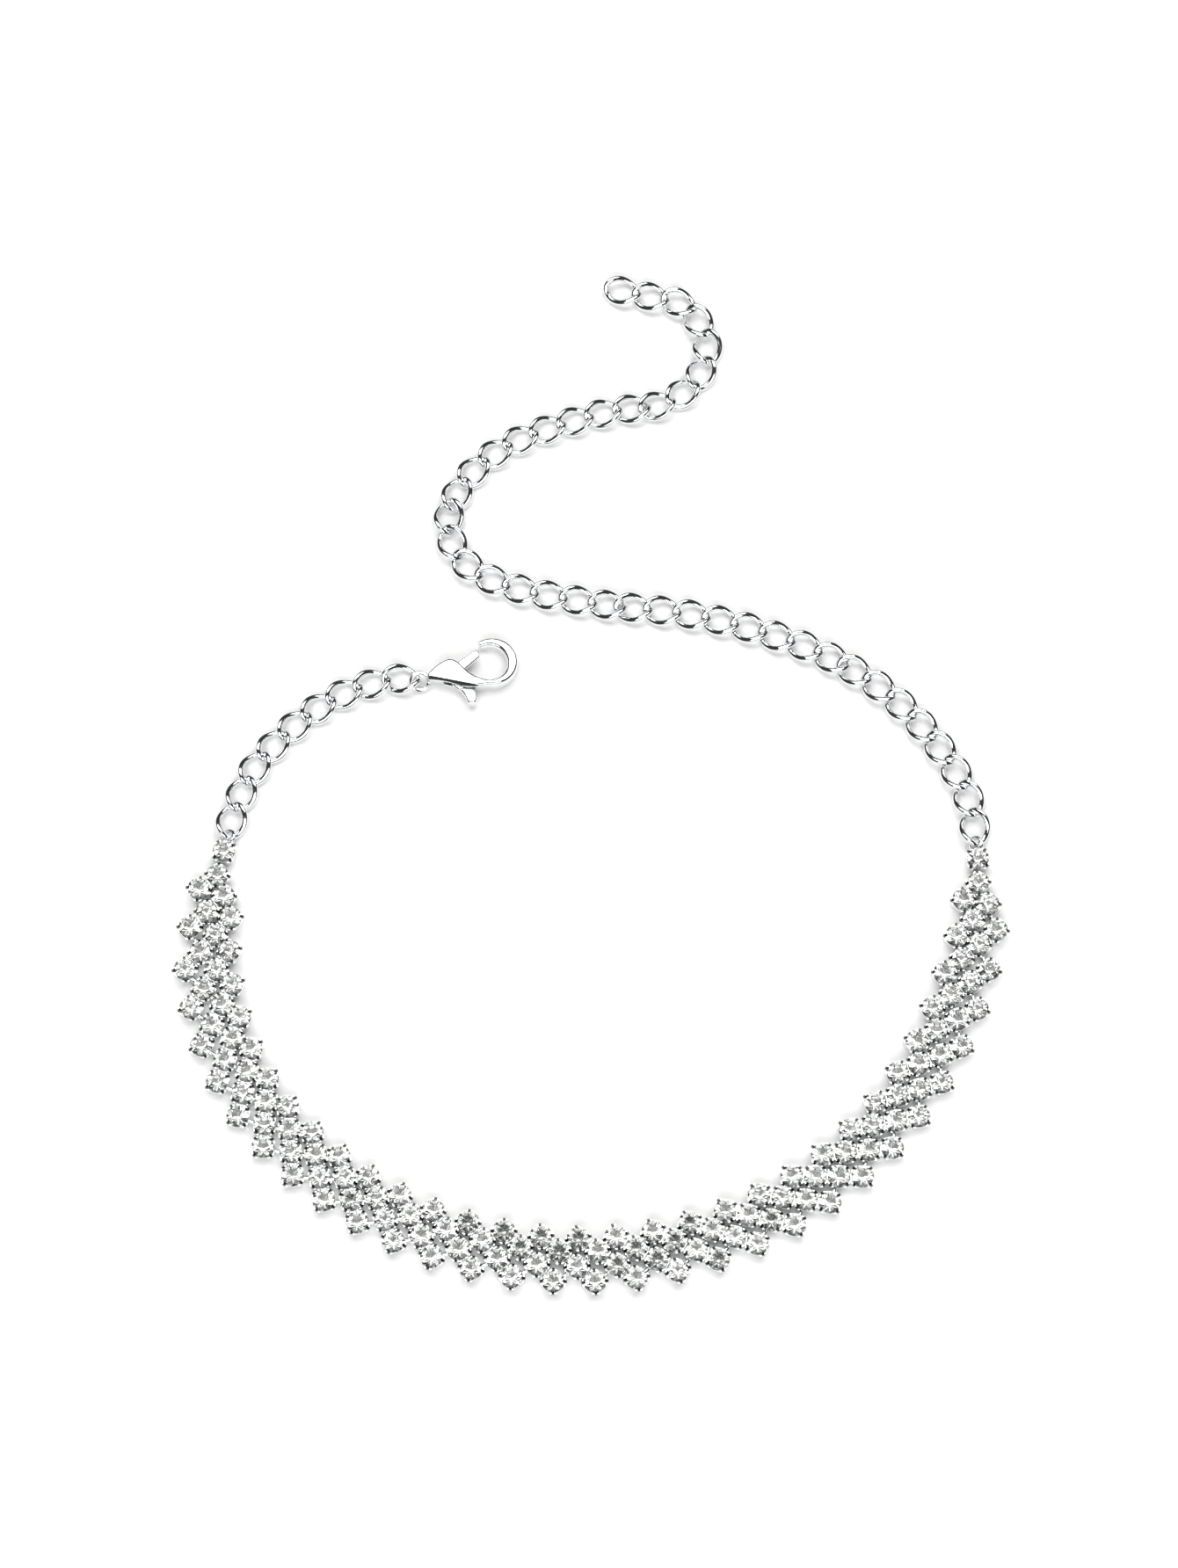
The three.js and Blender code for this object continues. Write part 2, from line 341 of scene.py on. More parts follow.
# Silver foil behind the stones: a slight haze greys and blends what the facets send back.
FOIL = PolishedMetal(
    "silvered_foil", bright="EFF0EE", dull="DFE0DE", patch=0.5, roughness=(0.12, 0.19), scratch=0.02
)
# Painted dark reflection: the claws are coloured dark to stand in for the dim room their tips
# mirror.
CLAW_PAINTED_REFLECTION = PolishedMetal(
    "claw_painted_dark_reflection", bright="7C7D7B", dull="464745", patch=1.2, roughness=(0.1, 0.18)
)
# Drawn steel wire: greyer than the plate, with a soft sheen.
RIVET_STEEL = PolishedMetal(
    "rivet_steel", bright="C9CACC", dull="B4B5B8", patch=0.3, roughness=(0.2, 0.32)
)
# Lead crystal: clear over the foil, with a black or white glint for each facet.
CRYSTAL = CutCrystal("cut_crystal")
# Background paper: white, with soft shadows.
PAPER = StudioPaper("studio_paper")


# ---- Mesh helpers --------------------------------------------------------------------------------


def mesh_of(bm: bmesh.types.BMesh, name: str) -> bpy.types.Mesh:
    """Turn a bmesh into a mesh and free it.

    Args:
        bm: The bmesh.
        name: The mesh's name.

    Returns:
        The new mesh.
    """
    mesh = bpy.data.meshes.new(name)
    bm.to_mesh(mesh)
    bm.free()
    return mesh


def repeated(template: bpy.types.Mesh, places: list[Matrix], name: str) -> bpy.types.Mesh:
    """Join copies of one mesh.

    Args:
        template: The mesh that is repeated. It is removed.
        places: Where each copy goes.
        name: The joined mesh's name.

    Returns:
        The joined mesh.
    """
    bm = bmesh.new()
    for place in places:
        template.transform(place)
        bm.from_mesh(template)
        template.transform(place.inverted())
    bpy.data.meshes.remove(template)
    return mesh_of(bm, name)


def rod(radius: float, length: float, sides: int, place: Matrix) -> bmesh.types.BMesh:
    """Make a round rod with closed ends, upright before it is placed.

    Args:
        radius: The rod's radius.
        length: Its length.
        sides: Its sides.
        place: The place of its middle.

    Returns:
        The rod.
    """
    bm = bmesh.new()
    bmesh.ops.create_cone(
        bm,
        cap_ends=True,
        segments=sides,
        radius1=radius,
        radius2=radius,
        depth=length,
        matrix=place,
    )
    return bm


def block(size: tuple[float, float, float], place: Matrix, name: str) -> bpy.types.Mesh:
    """Make a square-edged block.

    Args:
        size: The block's size along each axis.
        place: The place of its middle.
        name: The mesh's name.

    Returns:
        Its mesh.
    """
    bm = bmesh.new()
    bmesh.ops.create_cube(bm, size=1.0, matrix=place @ Matrix.Diagonal((*size, 1.0)))
    return mesh_of(bm, name)


def shade_by_angle(bm: bmesh.types.BMesh, angle: float) -> None:
    """Shade a shape smooth, but keep its sharp edges sharp.

    Args:
        bm: The shape.
        angle: The turn, in radians, from which an edge is sharp.
    """
    for face in bm.faces:
        face.smooth = True
    for edge in bm.edges:
        edge.smooth = len(edge.link_faces) == 2 and edge.calc_face_angle(0.0) < angle


def wire_ring(radius: float, wire: float, steps: int, sides: int) -> bmesh.types.BMesh:
    """Spin a round wire into a level ring about the origin.

    Args:
        radius: The ring's centre line.
        wire: The wire's own radius.
        steps: Sections round the ring.
        sides: Sides of the wire.

    Returns:
        The ring.
    """
    bm = bmesh.new()
    section = Matrix.Translation((radius, 0, 0)) @ Matrix.Rotation(math.pi / 2, 4, "X")
    bmesh.ops.create_circle(bm, segments=sides, radius=wire, matrix=section)
    bmesh.ops.spin(
        bm,
        geom=bm.verts[:] + bm.edges[:],
        cent=(0, 0, 0),
        axis=(0, 0, 1),
        angle=2 * math.pi,
        steps=steps,
        use_merge=True,
    )
    bmesh.ops.recalc_face_normals(bm, faces=bm.faces)
    for face in bm.faces:
        face.smooth = True
    return bm


def show(
    mesh: bpy.types.Mesh,
    name: str,
    finishes: list[Finish],
    body: Body,
    nodes: list[str],
) -> None:
    """Put a finished mesh, modelled in millimetres, into the scene as one piece.

    Args:
        mesh: The mesh, in the part's frame.
        name: The piece's name.
        finishes: Its finishes, by material index.
        body: The body it moves with.
        nodes: The CAD nodes it stands for.
    """
    mesh.transform(Matrix.Scale(MM, 4))
    for finish in finishes:
        mesh.materials.append(finish.material())
    piece = bpy.data.objects.new(name, mesh)
    bpy.context.scene.collection.objects.link(piece)
    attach(piece, body.value)
    if nodes:
        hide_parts(*nodes)
    LOG.info("%s: %d faces", name, len(mesh.polygons))


# ---- The layout on the table ---------------------------------------------------------------------


@dataclass(frozen=True)
class Station:
    """A point on a route, and the way the route runs there."""

    x: float
    y: float
    heading: float

    def beside(self, offset: float) -> Vector:
        """Give the point at an offset from here.

        Args:
            offset: How far to the left of the route it is.

        Returns:
            The point, on the table.
        """
        return Vector(
            (
                self.x - offset * math.sin(self.heading),
                self.y + offset * math.cos(self.heading),
                0.0,
            )
        )

    def place(self, height: float = 0.0) -> Matrix:
        """Give the place at a height here, turned with the route."""
        return Matrix.Translation((self.x, self.y, height)) @ Matrix.Rotation(self.heading, 4, "Z")


@dataclass(frozen=True)
class Layout:
    """Moves points of the plan so that the frame's origin is under the middle of it."""

    middle: Point = (0.264, 1.692)

    def placed(self, point: Point) -> Vector:
        """Give a point of the plan, measured from the frame's origin."""
        return Vector((point[0] - self.middle[0], point[1] - self.middle[1], 0.0))


@dataclass(frozen=True)
class Arc:
    """A stretch of the band's line that turns left at one radius."""

    length: float
    radius: float


@dataclass(frozen=True)
class BandLine:
    """The band's centre line, from the clasp's end cup to the other one."""

    layout: Layout = Layout()
    start: Point = (-41.2, -8.44)
    heading: float = math.radians(-104.5)
    arcs: tuple[Arc, ...] = (Arc(2.0, math.inf), Arc(33.7, 33.0), Arc(107.8, 45.0))

    @property
    def length(self) -> float:
        """The whole line's length."""
        return sum(arc.length for arc in self.arcs)

    def station(self, distance: float) -> Station:
        """Give the station at a distance from the start, crossing each arc by its chord.

        Args:
            distance: The distance along the line.

        Returns:
            The station, in the part's frame.
        """
        at = self.layout.placed(self.start)
        heading = self.heading
        left = distance
        for arc in self.arcs:
            run = min(left, arc.length)
            half = run / arc.radius / 2
            chord = 2 * arc.radius * math.sin(half) if half > 0 else run
            at += Vector((math.cos(heading + half), math.sin(heading + half), 0.0)) * chord
            heading += 2 * half
            left -= run
        return Station(at.x, at.y, heading)


class ChainLine:
    """A smooth line on the table through an end cup and some points.

    It leaves each point along the line that joins the points before and after it.
    """

    STEPS = 40

    def __init__(self, start: Vector, points: list[Vector]) -> None:
        """Work out the line.

        Args:
            start: The end cup's place.
            points: The points that the line runs on through.
        """
        knots = [start, *points]
        before = 2 * knots[0] - knots[1]
        after = 2 * knots[-1] - knots[-2]
        padded = [before, *knots, after]
        self.samples = [knots[0]]
        for i in range(len(knots) - 1):
            span = padded[i : i + 4]
            self.samples += [self.between(span, (k + 1) / self.STEPS) for k in range(self.STEPS)]
        self.distances = [0.0]
        for a, b in zip(self.samples, self.samples[1:]):
            self.distances.append(self.distances[-1] + (b - a).length)

    @staticmethod
    def between(span: list[Vector], t: float) -> Vector:
        """Give a point between the middle two of four knots.

        Args:
            span: The four knots.
            t: Its share of the way from the second knot to the third.

        Returns:
            The point.
        """
        leave = (span[2] - span[0]) / 2
        arrive = (span[3] - span[1]) / 2
        gap = span[2] - span[1]
        return (
            span[1]
            + leave * t
            + (3 * gap - 2 * leave - arrive) * t**2
            + (leave + arrive - 2 * gap) * t**3
        )

    def station(self, distance: float) -> Station:
        """Give the station at a distance from the end cup.

        Args:
            distance: The distance along the line.

        Returns:
            The station, in the part's frame.
        """
        i = max(k for k, d in enumerate(self.distances[:-1]) if d <= distance)
        a, b = self.samples[i], self.samples[i + 1]
        way = b - a
        at = a + way * ((distance - self.distances[i]) / way.length)
        return Station(at.x, at.y, math.atan2(way.y, way.x))


# ---- Crystals and cups ---------------------------------------------------------------------------


@dataclass(frozen=True)
class FacetRing:
    """Facets ground at one tilt round the stone.

    Attributes:
        count: How many facets.
        tilt: Their lean from level, in degrees; below the girdle it is negative.
        reach: Distance of each facet from the middle of the girdle, over the girdle's radius.
        turn: Share of one facet's step that the ring is turned by.
    """

    count: int
    tilt: float
    reach: float
    turn: float


@dataclass(frozen=True)
class Chaton:
    """A round crystal, ground facet by facet from a blank, and silvered below its girdle.

    Attributes:
        girdle: The girdle's radius.
        seat: The girdle's height above the cup's underside when the stone is set.
        table: The flat top's height above the girdle, over the girdle's radius.
        rings: The rings of facets, in the order that they are ground.
        blank_sides: Sides of the round blank.
        blank_height: The blank's height, over the girdle's radius.
        silvered: Faces whose normal has less z than this are silvered.
    """

    girdle: float = 1.27
    seat: float = 1.5
    table: float = 0.4
    rings: tuple[FacetRing, ...] = (
        FacetRing(8, 33.0, 0.585, 0.0),
        FacetRing(8, 22.0, 0.555, 0.5),
        FacetRing(16, 40.0, 0.67, 0.5),
        FacetRing(8, -41.0, 0.671, 0.0),
        FacetRing(16, -43.5, 0.7, 0.25),
        FacetRing(32, -46.0, 0.733, 0.5),
    )
    blank_sides: int = 32
    blank_height: float = 4.0
    silvered: float = -0.1

    def grind(self, bm: bmesh.types.BMesh, normal: Vector, reach: float) -> None:
        """Grind one flat facet.

        Args:
            bm: The stone so far.
            normal: The facet's outward direction.
            reach: The facet's distance from the middle of the girdle, over the girdle's radius.
        """
        cut = bmesh.ops.bisect_plane(
            bm,
            geom=bm.verts[:] + bm.edges[:] + bm.faces[:],
            dist=WELD / 10,
            plane_co=normal * (reach * self.girdle),
            plane_no=normal,
            clear_outer=True,
        )
        rim = [e for e in cut["geom_cut"] if isinstance(e, bmesh.types.BMEdge)]
        if rim:
            bmesh.ops.contextual_create(bm, geom=rim)

    def build(self) -> bpy.types.Mesh:
        """Grind the stone, with its girdle's middle at the origin.

        Returns:
            Its mesh: crystal faces have material 0, and silvered ones 1.
        """
        bm = rod(self.girdle, self.blank_height * self.girdle, self.blank_sides, Matrix())
        self.grind(bm, Vector((0, 0, 1)), self.table)
        for ring in self.rings:
            lean = math.radians(abs(ring.tilt))
            up = math.copysign(math.cos(lean), ring.tilt)
            for i in range(ring.count):
                turn = (i + ring.turn) * 2 * math.pi / ring.count
                normal = Vector(
                    (math.sin(lean) * math.cos(turn), math.sin(lean) * math.sin(turn), up)
                )
                self.grind(bm, normal, ring.reach)
        bmesh.ops.remove_doubles(bm, verts=bm.verts, dist=WELD)
        bmesh.ops.recalc_face_normals(bm, faces=bm.faces)
        for face in bm.faces:
            face.material_index = 1 if face.normal.z < self.silvered else 0
        return mesh_of(bm, "chaton")


@dataclass(frozen=True)
class Cup:
    """The pressed cup that holds one crystal: a square box with cut corners and four claws.

    Attributes:
        width: The box's width.
        corner: How much of each corner is cut off.
        wall: The box's height.
        thickness: The thickness of its walls.
        floor: The thickness of its floor.
        claw: A claw's thickness, width and length.
        claw_edge: The radius of a claw's rounded edges.
        claw_lean: How far a claw leans in over the stone.
        claw_out: How far a claw's foot is from the cup's middle.
        claw_foot: How high its foot is.
        crease: The turn from which an edge is shaded sharp.
    """

    width: float = 2.4
    corner: float = 0.46
    wall: float = 1.32
    thickness: float = 0.14
    floor: float = 0.3
    claw: tuple[float, float, float] = (0.2, 0.32, 0.5)
    claw_edge: float = 0.05
    claw_lean: float = math.radians(42)
    claw_out: float = 1.45
    claw_foot: float = 1.36
    crease: float = math.radians(40)

    def add_box(self, bm: bmesh.types.BMesh) -> None:
        """Add the cup's open box.

        Args:
            bm: The cup so far, which is empty.
        """
        made = bmesh.ops.create_grid(bm, x_segments=1, y_segments=1, size=self.width / 2)
        bmesh.ops.bevel(
            bm,
            geom=made["verts"],
            offset=self.corner,
            segments=1,
            profile=0.5,
            affect="VERTICES",
            material=-1,
        )
        walls = bmesh.ops.extrude_face_region(bm, geom=bm.faces[:])
        lifted = [v for v in walls["geom"] if isinstance(v, bmesh.types.BMVert)]
        bmesh.ops.translate(bm, verts=lifted, vec=(0, 0, self.wall))
        top = [f for f in walls["geom"] if isinstance(f, bmesh.types.BMFace)]
        bmesh.ops.inset_region(bm, faces=top, thickness=self.thickness, use_even_offset=True)
        well = bmesh.ops.extrude_face_region(bm, geom=top)
        sunk = [v for v in well["geom"] if isinstance(v, bmesh.types.BMVert)]
        bmesh.ops.translate(bm, verts=sunk, vec=(0, 0, self.floor - self.wall))
        bmesh.ops.delete(bm, geom=top, context="FACES_ONLY")

    def add_claw(self, bm: bmesh.types.BMesh, turn: float) -> None:
        """Add one claw: a flat tab at a corner, bent down over the stone.

        Args:
            bm: The cup so far.
            turn: The corner's angle round the cup.
        """
        made = bmesh.ops.create_cube(
            bm,
            size=1.0,
            matrix=Matrix.Rotation(turn, 4, "Z")
            @ Matrix.Translation((self.claw_out, 0, self.claw_foot))
            @ Matrix.Rotation(-self.claw_lean, 4, "Y")
            @ Matrix.Translation((0, 0, self.claw[2] / 2))
            @ Matrix.Diagonal((*self.claw, 1.0)),
        )
        # Material 1 is the painted dark reflection on the claws, a dark dot at each corner of the
        # cup.
        for face in {f for v in made["verts"] for f in v.link_faces}:
            face.material_index = 1
        bmesh.ops.bevel(
            bm,
            geom=list({e for v in made["verts"] for e in v.link_edges}),
            offset=self.claw_edge,
            segments=2,
            profile=0.5,
            affect="EDGES",
            material=-1,
        )

    def build(self) -> bpy.types.Mesh:
        """Make the cup, standing on the table at the origin.

        Returns:
            Its mesh: the box has material 0, and the claws 1.
        """
        bm = bmesh.new()
        self.add_box(bm)
        for i in range(4):
            self.add_claw(bm, math.pi / 4 + i * math.pi / 2)
        bmesh.ops.recalc_face_normals(bm, faces=bm.faces)
        shade_by_angle(bm, self.crease)
        return mesh_of(bm, "cup")


# ---- The band ------------------------------------------------------------------------------------


@dataclass(frozen=True)
class Taper:
    """A short bar that narrows the band at an end.

    Attributes:
        cups: How many cups it has.
        inset: Its distance in from the end cup, along the band.
        offset: How far its middle sits off the band's centre line.
    """

    cups: int
    inset: float
    offset: float


@dataclass(frozen=True)
class Bar:
    """One bar's place in the band.

    Attributes:
        cups: How many cups it has.
        at: Its middle's distance along the band.
        offset: How far its middle is to the left of the band's centre line.
        lean: Its turn from the way the band runs.
    """

    cups: int
    at: float
    offset: float
    lean: float


@dataclass(frozen=True)
class EndLoop:
    """The wire loop on an end cup that a chain's first link hangs in.

    Attributes:
        radius: The radius of the loop's centre line.
        wire: The wire's thickness.
        centre: How far the loop's middle is out from the end cup's.
        tilt: How far the loop leans about the chain's line.
        steps: Sections round the loop.
        sides: Sides of the wire.
    """

    radius: float = 0.8
    wire: float = 0.46
    centre: float = 1.84
    tilt: float = math.radians(-31)
    steps: int = 24
    sides: int = 8

    def build(self, ends: list[Station], height: float) -> bpy.types.Mesh:
        """Make a loop at each end.

        Args:
            ends: The end cups' stations.
            height: How high the loops are centred.

        Returns:
            One mesh of both.
        """
        bm = wire_ring(self.radius, self.wire / 2, self.steps, self.sides)
        local = Matrix.Translation((self.centre, 0, 0)) @ Matrix.Rotation(self.tilt, 4, "X")
        places = [end.place(height) @ local for end in ends]
        return repeated(mesh_of(bm, "loop"), places, "loops")


@dataclass
class CrystalBand:
    """Slanting bars of cups, each joined to the next by short wires.

    Attributes:
        line: The band's centre line.
        cup: The cup.
        chaton: The stone.
        pitch: The step from cup to cup in a bar.
        full_cups: How many cups a full bar has.
        full_bars: How many full bars there are.
        apart: The gap between full bars' centre lines, measured square to them.
        from_end: Distance of the outermost full bars from the ends of the line.
        growth: Share by which the bars' spacing grows to each side of its mean.
        tapers: The short bars at an end.
        neck: Length, width and height of the strip between two cups of a bar.
        neck_lift: How high the strip is above the table.
        wire: Radius of a connector wire.
        wire_sides: Sides of a connector wire.
        wire_height: How high the wires are.
        wire_inset: How much shorter a wire is than the way between its cups, over the pitch.
        wire_limit: Cups further apart than this aren't joined, over the pitch.
        jostle: How far a stone may be tipped either way.
        seed: The seed of the stones' random turns.
    """

    line: BandLine = field(default_factory=BandLine)
    cup: Cup = field(default_factory=Cup)
    chaton: Chaton = field(default_factory=Chaton)
    pitch: float = 2.6
    full_cups: int = 4
    full_bars: int = 29
    apart: float = 2.72
    from_end: float = 11.0
    growth: float = 0.037
    tapers: tuple[Taper, ...] = (Taper(2, 3.9, 0.8), Taper(3, 7.3, 0.35))
    neck: tuple[float, float, float] = (0.5, 1.0, 0.45)
    neck_lift: float = 0.1
    wire: float = 0.28
    wire_sides: int = 8
    wire_height: float = 0.55
    wire_inset: float = 0.7
    wire_limit: float = 1.6
    jostle: float = math.radians(4)
    seed: int = 7

    def full_bar(self, i: int) -> Bar:
        """Place a full bar: spacing grows along the band, and the lean keeps bars evenly apart.

        Args:
            i: The bar's number, from the clasp's end.

        Returns:
            The bar.
        """
        last = self.full_bars - 1
        share = i / last
        spacing = (self.line.length - 2 * self.from_end) / last
        grown = spacing * (1 + self.growth * (2 * share - 1))
        return Bar(
            cups=self.full_cups,
            at=self.from_end + spacing * last * (share + self.growth * (share**2 - share)),
            offset=0.0,
            lean=-math.asin(self.apart / grown),
        )

    def bars(self) -> list[Bar]:
        """List every bar.

        Returns:
            The bars, from the clasp's end to the extension's.
        """
        full = [self.full_bar(i) for i in range(self.full_bars)]
        end = self.line.length
        first, last = full[0].lean, full[-1].lean
        opening = [Bar(t.cups, t.inset, -t.offset, first) for t in self.tapers]
        closing = [Bar(t.cups, end - t.inset, t.offset, last) for t in reversed(self.tapers)]
        return [*opening, *full, *closing]

    def bar_place(self, bar: Bar) -> Matrix:
        """Give a bar's place.

        Args:
            bar: The bar.

        Returns:
            The place of its middle, with x along the bar.
        """
        station = self.line.station(bar.at)
        turn = Matrix.Rotation(station.heading + bar.lean, 4, "Z")
        return Matrix.Translation(station.beside(bar.offset)) @ turn

    def cup_places(self, bar: Bar) -> list[Matrix]:
        """Give each cup's place in a bar.

        Args:
            bar: The bar.

        Returns:
            The places of its cups, one after another along it.
        """
        middle = self.bar_place(bar)
        first = -(bar.cups - 1) / 2 * self.pitch
        return [
            middle @ Matrix.Translation((first + i * self.pitch, 0, 0)) for i in range(bar.cups)
        ]

    def necks(self) -> bpy.types.Mesh:
        """Make the flat strips that join the cups of a bar.

        Returns:
            One mesh of them all.
        """
        step = Matrix.Translation((self.pitch / 2, 0, self.neck[2] / 2 + self.neck_lift))
        places = [cup @ step for bar in self.bars() for cup in self.cup_places(bar)[:-1]]
        return repeated(block(self.neck, Matrix(), "neck"), places, "necks")

    def connectors(self) -> bpy.types.Mesh:
        """Make the wires that join each bar's cups to the cups before them in the next bar.

        Returns:
            One mesh of them all.
        """
        bm = rod(self.wire, 1.0, self.wire_sides, Matrix.Rotation(math.pi / 2, 4, "Y"))
        shade_by_angle(bm, ROUND_EDGE)
        rows = [self.cup_places(bar) for bar in self.bars()]
        lift = Vector((0, 0, self.wire_height))
        places = []
        for row, after in zip(rows, rows[1:]):
            shift = (len(after) - len(row) + 1) // 2
            for i, cup in enumerate(row):
                j = i - 1 + shift
                if not 0 <= j < len(after):
                    continue
                a, b = cup.translation, after[j].translation
                way = b - a
                if way.length > self.wire_limit * self.pitch:
                    continue
                places.append(
                    Matrix.Translation((a + b) / 2 + lift)
                    @ Matrix.Rotation(math.atan2(way.y, way.x), 4, "Z")
                    @ Matrix.Diagonal((way.length - self.pitch * self.wire_inset, 1.0, 1.0, 1.0))
                )
        return repeated(mesh_of(bm, "connector"), places, "connectors")

    def jostled(self, place: Matrix, chance: random.Random) -> Matrix:
        """Turn a stone at random in its cup, and tip it slightly, as hand-set stones are.

        Args:
            place: The cup's place.
            chance: Where the random draws come from.

        Returns:
            The stone's place.
        """
        tip = Matrix.Rotation(chance.uniform(-1, 1) * self.jostle, 4, "X")
        tip @= Matrix.Rotation(chance.uniform(-1, 1) * self.jostle, 4, "Y")
        turn = Matrix.Rotation(chance.uniform(0, 2 * math.pi), 4, "Z")
        return place @ Matrix.Translation((0, 0, self.chaton.seat)) @ tip @ turn

    def build(self, ends: list[Station], height: float) -> None:
        """Build the band's cups, its stones and the loops at its ends.

        Args:
            ends: The end cups' stations, headed out along the chains.
            height: How high the chains' links, and so the loops, are centred.
        """
        places = [place for bar in self.bars() for place in self.cup_places(bar)]
        places += [end.place() for end in ends]
        metal = bmesh.new()
        for mesh in (
            repeated(self.cup.build(), places, "cups"),
            self.necks(),
            self.connectors(),
            EndLoop().build(ends, height),
        ):
            metal.from_mesh(mesh)
            bpy.data.meshes.remove(mesh)
        nodes = [f"crystal_bar_{i + 1:02d}" for i in range(len(self.bars()))]
        nodes += ["end_cup_clasp_side", "end_cup_extension_side"]
        # The second finish, on the claws, is metal painted dark as a stand-in for reflection.
        show(
            mesh_of(metal, "band_cups"),
            "band_cups",
            [SILVER, CLAW_PAINTED_REFLECTION],
            Body.BRACELET,
            nodes,
        )
        chance = random.Random(self.seed)
        stones = repeated(
            self.chaton.build(), [self.jostled(place, chance) for place in places], "stones"
        )
        show(stones, "band_crystals", [CRYSTAL, FOIL], Body.BRACELET, [])


# ---- Chains --------------------------------------------------------------------------------------


@dataclass(frozen=True)
class CurbLink:
    """An oval ring of round wire, twisted about the chain's own line.

    Attributes:
        length: The link's length over all.
        width: Its width over all, before the twist.
        wire: The wire's thickness.
        twist: How far each end of the link is twisted from its middle.
        steps: Sections round the link.
        sides: Sides of the wire.
    """

    length: float = 4.78
    width: float = 3.72
    wire: float = 0.74
    twist: float = math.radians(-38)
    steps: int = 64
    sides: int = 16

    def build(self) -> bmesh.types.BMesh:
        """Make the link.

        Returns:
            Its shape, centred on the origin with the chain's line along x.
        """
        along = (self.length - self.wire) / 2
        across = (self.width - self.wire) / 2
        bm = wire_ring(1.0, self.wire / 2, self.steps, self.sides)
        for vert in bm.verts:
            turn = math.atan2(vert.co.y, vert.co.x)
            out = math.hypot(vert.co.x, vert.co.y) - 1
            normal = Vector((across * math.cos(turn), along * math.sin(turn), 0)).normalized()
            flat = Vector((along * math.cos(turn), across * math.sin(turn), vert.co.z))
            flat += normal * out
            vert.co = Matrix.Rotation(self.twist * flat.x / along, 3, "X") @ flat
        bmesh.ops.recalc_face_normals(bm, faces=bm.faces)
        return bm

    def height(self) -> float:
        """Work out how high the link lies.

        Returns:
            The height of its middle when it lies on the table.
        """
        bm = self.build()
        lowest = min(vert.co.z for vert in bm.verts)
        bm.free()
        return -lowest


@dataclass
class CurbChain:
    """Curb links along a line, in taut runs.

    Attributes:
        name: The piece's name.
        line: The line the links lie on.
        links: How many links there are.
        nodes: The CAD nodes that the chain stands for.
        run: How many links each run has.
        pitch: The step from link to link inside a run.
        slack_pitch: The step from one run to the next.
        to_first: The first link's distance from the end cup.
        link: The link.
    """

    name: str
    line: ChainLine
    links: int
    nodes: list[str]
    run: int = 8
    pitch: float = 3.385
    slack_pitch: float = 3.02
    to_first: float = 3.86
    link: CurbLink = field(default_factory=CurbLink)

    def stations(self) -> list[Station]:
        """List the links' stations: each run is taut, and hangs slack from the one before.

        Returns:
            The stations, from the end cup's side.
        """
        distance = self.to_first
        stations = []
        for i in range(self.links):
            if i > 0:
                distance += self.slack_pitch if i % self.run == 0 else self.pitch
            stations.append(self.line.station(distance))
        return stations

    def build(self) -> None:
        """Build the chain."""
        height = self.link.height()
        places = [station.place(height) for station in self.stations()]
        mesh = repeated(mesh_of(self.link.build(), "link"), places, self.name)
        show(mesh, self.name, [SILVER], Body.BRACELET, self.nodes)


# ---- Lobster clasp -------------------------------------------------------------------------------


@dataclass(frozen=True)
class Outline:
    """A closed outline of curves, each bent by one control point.

    Attributes:
        start: The first point.
        curves: For each curve, its control point and its end. A straight edge has no control.
    """

    start: Point
    curves: tuple[tuple[Point | None, Point], ...]

    def plate(self, thickness: float, edge: float) -> bpy.types.Mesh:
        """Make a plate of the outline, centred on z, with rounded edges.

        Args:
            thickness: The plate's full thickness.
            edge: The radius its edges are rounded to.

        Returns:
            Its mesh.
        """
        curve = bpy.data.curves.new("outline", "CURVE")
        curve.dimensions = "2D"
        curve.fill_mode = "BOTH"
        curve.resolution_u = 10
        curve.extrude = thickness / 2 - edge
        curve.bevel_depth = edge
        curve.bevel_resolution = 5
        curve.offset = -edge
        spline = curve.splines.new("BEZIER")
        spline.bezier_points.add(len(self.curves) - 1)
        spline.use_cyclic_u = True
        points = [Vector((*self.start, 0)), *[Vector((*end, 0)) for _, end in self.curves]]
        for i, (control, _) in enumerate(self.curves):
            here = spline.bezier_points[i]
            after = spline.bezier_points[(i + 1) % len(self.curves)]
            middle = Vector((*control, 0)) if control else (points[i] + points[i + 1]) / 2
            here.co = points[i]
            here.handle_right = points[i].lerp(middle, 2 / 3)
            after.handle_left = points[i + 1].lerp(middle, 2 / 3)
        holder = bpy.data.objects.new("outline", curve)
        mesh = bpy.data.meshes.new_from_object(holder)
        bpy.data.objects.remove(holder)
        bpy.data.curves.remove(curve)
        return mesh


